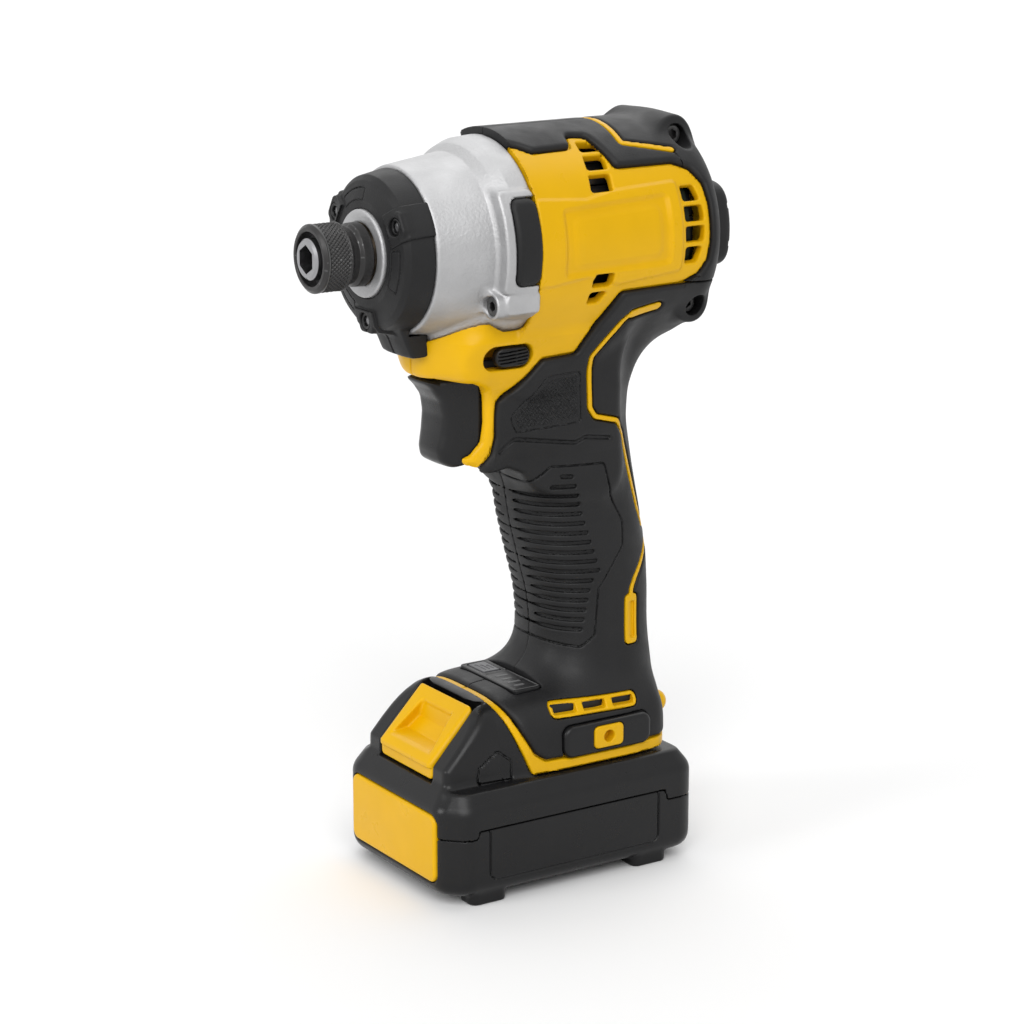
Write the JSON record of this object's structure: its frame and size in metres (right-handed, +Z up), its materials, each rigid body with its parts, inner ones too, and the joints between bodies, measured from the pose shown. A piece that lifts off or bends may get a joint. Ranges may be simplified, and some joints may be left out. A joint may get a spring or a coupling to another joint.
{
  "type": "impact driver",
  "caption": "Compact cordless pistol-grip impact driver with a quick-release hex bit collar, metal gear case, soft grip and slide-on battery.",
  "frame": {"origin": "middle of the bounding box's floor, on the surface the battery stands on", "axes": "+X towards the bit, +Y to the tool's left, +Z up"},
  "size_m": [0.115, 0.0578, 0.2019],
  "materials": {
    "yellow_plastic": "fine moulded texture",
    "black_rubber": "textured soft overmould",
    "black_plastic": "fine moulded texture",
    "grey_plastic": "smooth",
    "cast_aluminium": "matte, bead blasted",
    "black_steel": "black oxide",
    "steel": "ground",
    "dark_steel": "oiled",
    "bronze": "turned",
    "copper": "enamelled wire",
    "circuit_board": "coated",
    "clear_lens": "clear",
    "cell_steel": "wrapped cells"
  },
  "bodies": {
    "tool": {"nose_bush": "bronze", "gear_case": "cast_aluminium", "nose_bumper": "black_rubber", "nose_lenses": "clear_lens", "light_board": "circuit_board", "ring_gear": "steel", "bearing_plate": "black_plastic", "spindle_bearing": "steel", "front_bearing": "steel", "rear_bearing": "steel", "stator": "dark_steel", "windings": "copper", "sensor_board": "circuit_board", "gear_case_screws": "black_steel", "side_pads": "black_rubber", "housing_left": "yellow_plastic", "housing_right": "yellow_plastic", "top_pad_left": "black_rubber", "top_pad_right": "black_rubber", "grip_left": "black_rubber", "grip_right": "black_rubber", "rear_cap": "black_rubber", "tail_bumper": "black_rubber", "shell_screws": "black_steel", "trigger_spring": "steel", "switch_body": "black_plastic", "control_module": "circuit_board", "terminal_block": "black_plastic", "control_panel": "black_plastic", "hook_plates": "black_plastic", "hook_inserts": "yellow_plastic"},
    "spindle": {"spindle": "steel", "planet_pins": "steel", "cam_balls": "steel", "hammer_spring": "steel"},
    "anvil": {"anvil": "steel", "collar_ring": "steel", "bit_ball": "steel", "collar_spring": "steel"},
    "collar": {"collar": "black_steel"},
    "hammer": {"hammer": "dark_steel"},
    "rotor": {"rotor": "steel", "sun_pinion": "steel", "fan": "black_plastic"},
    "planet_1": {"planet_gear_1": "steel"},
    "planet_2": {"planet_gear_2": "steel"},
    "planet_3": {"planet_gear_3": "steel"},
    "trigger": {"trigger": "black_plastic"},
    "direction_lever": {"direction_lever": "black_plastic"},
    "battery": {"battery_case": "black_plastic", "battery_cover": "black_plastic", "battery_panel": "yellow_plastic", "battery_cells": "cell_steel", "battery_board": "circuit_board", "battery_screws": "steel", "latch_spring": "steel"},
    "latch": {"battery_latch": "yellow_plastic"},
    "mode_button": {"mode_button": "grey_plastic"}
  },
  "joints": [
    {"name": "spindle_spin", "type": "hinge", "parent": "tool", "child": "spindle", "pos_m": [0, 0, 0.1715], "axis": [1, 0, 0], "continuous": true},
    {"name": "anvil_spin", "type": "hinge", "parent": "tool", "child": "anvil", "pos_m": [0, 0, 0.1715], "axis": [1, 0, 0], "continuous": true},
    {"name": "rotor_spin", "type": "hinge", "parent": "tool", "child": "rotor", "pos_m": [0, 0, 0.1715], "axis": [1, 0, 0], "continuous": true},
    {"name": "planet_1_spin", "type": "hinge", "parent": "spindle", "child": "planet_1", "pos_m": [0, 0, 0.1835], "axis": [1, 0, 0], "continuous": true},
    {"name": "planet_2_spin", "type": "hinge", "parent": "spindle", "child": "planet_2", "pos_m": [0, 0.01039, 0.1655], "axis": [1, 0, 0], "continuous": true},
    {"name": "planet_3_spin", "type": "hinge", "parent": "spindle", "child": "planet_3", "pos_m": [0, -0.01039, 0.1655], "axis": [1, 0, 0], "continuous": true},
    {"name": "hammer_slide", "type": "slide", "parent": "spindle", "child": "hammer", "axis": [-1, 0, 0], "range_m": [0, 0.0064], "stiffness_N_per_m": 4000, "springref_m": -0.01, "deforming": ["hammer_spring"]},
    {"name": "collar_slide", "type": "slide", "parent": "anvil", "child": "collar", "axis": [1, 0, 0], "range_m": [0, 0.003], "stiffness_N_per_m": 1500, "springref_m": -0.002, "deforming": ["collar_spring"]},
    {"name": "trigger_slide", "type": "slide", "parent": "tool", "child": "trigger", "axis": [-1, 0, 0], "range_m": [0, 0.006], "stiffness_N_per_m": 700, "springref_m": -0.003, "deforming": ["trigger_spring"]},
    {"name": "direction_slide", "type": "slide", "parent": "tool", "child": "direction_lever", "axis": [0, 1, 0], "range_m": [-0.0026, 0.0026]},
    {"name": "battery_slide", "type": "slide", "parent": "tool", "child": "battery", "axis": [1, 0, 0], "range_m": [0, 0.08]},
    {"name": "latch_press", "type": "slide", "parent": "battery", "child": "latch", "axis": [-1, 0, 0], "range_m": [0, 0.0026], "stiffness_N_per_m": 1200, "springref_m": -0.002, "deforming": ["latch_spring"]},
    {"name": "mode_press", "type": "slide", "parent": "tool", "child": "mode_button", "axis": [0, 0, -1], "range_m": [0, 0.0006], "stiffness_N_per_m": 1200, "springref_m": -0.0004}
  ],
  "couplings": [
    {"joint": "anvil_spin", "follows": "spindle_spin", "ratio": 1},
    {"joint": "rotor_spin", "follows": "spindle_spin", "ratio": 6.6667},
    {"joint": "planet_1_spin", "follows": "spindle_spin", "ratio": -2.4286},
    {"joint": "planet_2_spin", "follows": "spindle_spin", "ratio": -2.4286},
    {"joint": "planet_3_spin", "follows": "spindle_spin", "ratio": -2.4286}
  ]
}
